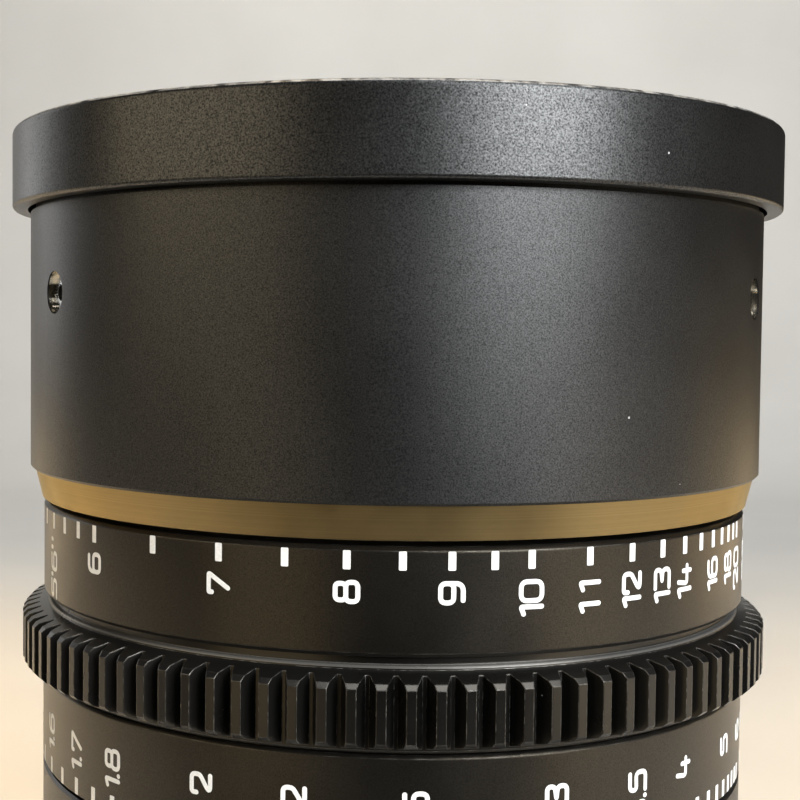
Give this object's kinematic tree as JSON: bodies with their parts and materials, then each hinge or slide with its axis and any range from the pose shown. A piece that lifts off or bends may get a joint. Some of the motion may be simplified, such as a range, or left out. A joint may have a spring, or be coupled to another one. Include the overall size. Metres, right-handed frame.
{
  "type": "cinema prime lens",
  "caption": "Cinema prime lens with a geared focus ring, distance scales, a geared iris ring, a lugged camera mount and a push-on front cap.",
  "frame": {"origin": "centre of the mount flange's seat face, on the optical axis", "axes": "+Z forward along the optical axis, -Y towards the side that the picture shows"},
  "size_m": [0.0838, 0.0838, 0.1345],
  "materials": {
    "cap_plastic": "moulded, fine spark-eroded grain",
    "felt": "short pile",
    "barrel_black": "bead-blasted, black anodised",
    "ring_black": "fine turned, black anodised",
    "gear_black": "hobbed teeth, black anodised",
    "bronze": "satin turned, bronze anodised",
    "inner_black": "matt black anodised",
    "screw_steel": "bright",
    "mount_steel": "lapped",
    "actuator_steel": "satin",
    "blade_steel": "blackened spring steel",
    "brass": "turned",
    "glide_plastic": "low-friction plastic",
    "coated_glass": "polished, coated"
  },
  "bodies": {
    "lens_body": {"front_barrel": "barrel_black", "barrel_grub_screws": "screw_steel", "accent_ring": "bronze", "front_glide_ring": "glide_plastic", "rear_glide_ring": "glide_plastic", "focus_stop_pin": "screw_steel", "main_barrel": "inner_black", "front_cell": "inner_black", "front_element": "coated_glass", "front_retainer": "inner_black", "second_element": "coated_glass", "second_retainer": "inner_black", "index_barrel": "barrel_black", "iris_housing": "inner_black", "iris_pivot_pins": "screw_steel", "iris_retainer": "inner_black", "rear_barrel": "barrel_black", "lens_mount": "mount_steel", "mount_shim": "brass", "mount_screws": "screw_steel", "rear_cell": "inner_black", "rear_crown": "coated_glass", "rear_flint": "coated_glass", "doublet_retainer": "inner_black", "rear_element": "coated_glass", "rear_retainer": "inner_black"},
    "focus_ring": {"feet_scale_ring": "ring_black", "focus_gear": "gear_black", "metre_scale_ring": "ring_black", "cam_sleeve": "brass"},
    "focus_group": {"focus_carriage": "inner_black", "carriage_front_element": "coated_glass", "carriage_rear_element": "coated_glass", "carriage_retainer": "inner_black", "carriage_rear_retainer": "inner_black", "follower_pins": "screw_steel", "guide_rollers": "brass", "cam_rollers": "brass"},
    "iris_control": {"iris_ring": "ring_black", "iris_gear": "gear_black", "iris_drive_pin": "screw_steel", "iris_actuator_ring": "actuator_steel"},
    "front_cap": {"front_cap": "cap_plastic", "cap_liner": "felt"},
    "blade_1": {"iris_blade_1": "blade_steel"},
    "blade_2": {"iris_blade_2": "blade_steel"},
    "blade_3": {"iris_blade_3": "blade_steel"},
    "blade_4": {"iris_blade_4": "blade_steel"},
    "blade_5": {"iris_blade_5": "blade_steel"},
    "blade_6": {"iris_blade_6": "blade_steel"},
    "blade_7": {"iris_blade_7": "blade_steel"},
    "blade_8": {"iris_blade_8": "blade_steel"},
    "blade_9": {"iris_blade_9": "blade_steel"}
  },
  "joints": [
    {"name": "focus_turn", "type": "hinge", "parent": "lens_body", "child": "focus_ring", "pos_m": [0, 0, 0.062], "axis": [0, 0, 1], "range_deg": [-200.7, 99.3]},
    {"name": "focus_travel", "type": "slide", "parent": "lens_body", "child": "focus_group", "axis": [0, 0, 1], "range_m": [-0.00803, 0.00397]},
    {"name": "iris_turn", "type": "hinge", "parent": "lens_body", "child": "iris_control", "pos_m": [0, 0, 0.028], "axis": [0, 0, 1], "range_deg": [0, 60]},
    {"name": "cap_pull", "type": "slide", "parent": "lens_body", "child": "front_cap", "axis": [0, 0, 1], "range_m": [0, 0.06]},
    {"name": "blade_1_swing", "type": "hinge", "parent": "lens_body", "child": "blade_1", "pos_m": [0.026, 0, 0.0277], "axis": [0, 0, 1], "range_deg": [-26.71, 0.01]},
    {"name": "blade_2_swing", "type": "hinge", "parent": "lens_body", "child": "blade_2", "pos_m": [0.01992, 0.01671, 0.0277], "axis": [0, 0, 1], "range_deg": [-26.71, 0.01]},
    {"name": "blade_3_swing", "type": "hinge", "parent": "lens_body", "child": "blade_3", "pos_m": [0.00451, 0.0256, 0.0277], "axis": [0, 0, 1], "range_deg": [-26.71, 0.01]},
    {"name": "blade_4_swing", "type": "hinge", "parent": "lens_body", "child": "blade_4", "pos_m": [-0.013, 0.02252, 0.0277], "axis": [0, 0, 1], "range_deg": [-26.71, 0.01]},
    {"name": "blade_5_swing", "type": "hinge", "parent": "lens_body", "child": "blade_5", "pos_m": [-0.02443, 0.00889, 0.0277], "axis": [0, 0, 1], "range_deg": [-26.71, 0.01]},
    {"name": "blade_6_swing", "type": "hinge", "parent": "lens_body", "child": "blade_6", "pos_m": [-0.02443, -0.00889, 0.0277], "axis": [0, 0, 1], "range_deg": [-26.71, 0.01]},
    {"name": "blade_7_swing", "type": "hinge", "parent": "lens_body", "child": "blade_7", "pos_m": [-0.013, -0.02252, 0.0277], "axis": [0, 0, 1], "range_deg": [-26.71, 0.01]},
    {"name": "blade_8_swing", "type": "hinge", "parent": "lens_body", "child": "blade_8", "pos_m": [0.00451, -0.0256, 0.0277], "axis": [0, 0, 1], "range_deg": [-26.71, 0.01]},
    {"name": "blade_9_swing", "type": "hinge", "parent": "lens_body", "child": "blade_9", "pos_m": [0.01992, -0.01671, 0.0277], "axis": [0, 0, 1], "range_deg": [-26.71, 0.01]}
  ],
  "couplings": [
    {"joint": "focus_travel", "follows": "focus_turn", "m_per_rad": 0.0022918},
    {"joint": "blade_1_swing", "follows": "iris_turn", "ratio": -0.445},
    {"joint": "blade_2_swing", "follows": "iris_turn", "ratio": -0.445},
    {"joint": "blade_3_swing", "follows": "iris_turn", "ratio": -0.445},
    {"joint": "blade_4_swing", "follows": "iris_turn", "ratio": -0.445},
    {"joint": "blade_5_swing", "follows": "iris_turn", "ratio": -0.445},
    {"joint": "blade_6_swing", "follows": "iris_turn", "ratio": -0.445},
    {"joint": "blade_7_swing", "follows": "iris_turn", "ratio": -0.445},
    {"joint": "blade_8_swing", "follows": "iris_turn", "ratio": -0.445},
    {"joint": "blade_9_swing", "follows": "iris_turn", "ratio": -0.445}
  ]
}
